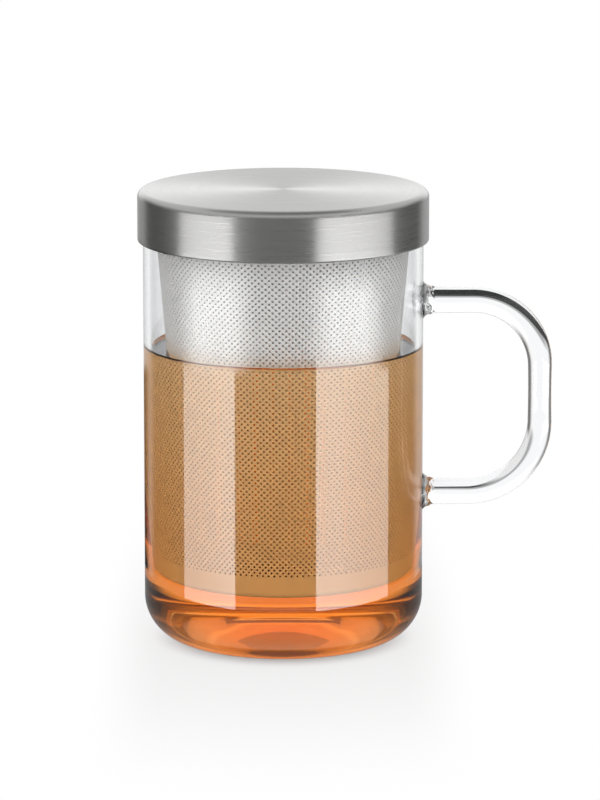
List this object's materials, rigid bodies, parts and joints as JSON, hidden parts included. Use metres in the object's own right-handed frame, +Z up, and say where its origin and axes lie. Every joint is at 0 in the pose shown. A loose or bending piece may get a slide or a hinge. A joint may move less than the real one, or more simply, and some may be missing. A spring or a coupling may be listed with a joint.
{
  "type": "lidded tea mug with infuser",
  "caption": "Straight clear glass mug with a bent glass rod handle, a lift-out perforated steel strainer and a lift-off brushed steel lid with a sealed plug.",
  "frame": {"origin": "centre of the mug's foot, on the plane it stands on", "axes": "+Z up along the mug's axis, +X towards the handle, +Y to the back as the picture shows the mug"},
  "size_m": [0.1289, 0.0904, 0.142],
  "materials": {
    "clear_glass": "clear borosilicate, fire polished",
    "strainer_steel": "etched sheet, satin",
    "lid_steel": "fine horizontal brushing on the side, circular brushing on the top",
    "silicone": "translucent white silicone, matt"
  },
  "bodies": {
    "mug": {"mug_glass": "clear_glass", "mug_handle": "clear_glass"},
    "infuser": {"strainer_rim": "strainer_steel", "strainer_wall": "strainer_steel", "strainer_base": "strainer_steel"},
    "lid": {"lid_shell": "lid_steel", "lid_liner": "lid_steel", "lid_seal": "silicone"}
  },
  "joints": [
    {"name": "infuser_lift", "type": "slide", "parent": "mug", "child": "infuser", "axis": [0, 0, 1], "range_m": [0, 0.125]},
    {"name": "lid_lift", "type": "slide", "parent": "infuser", "child": "lid", "axis": [0, 0, 1], "range_m": [0, 0.05]}
  ]
}
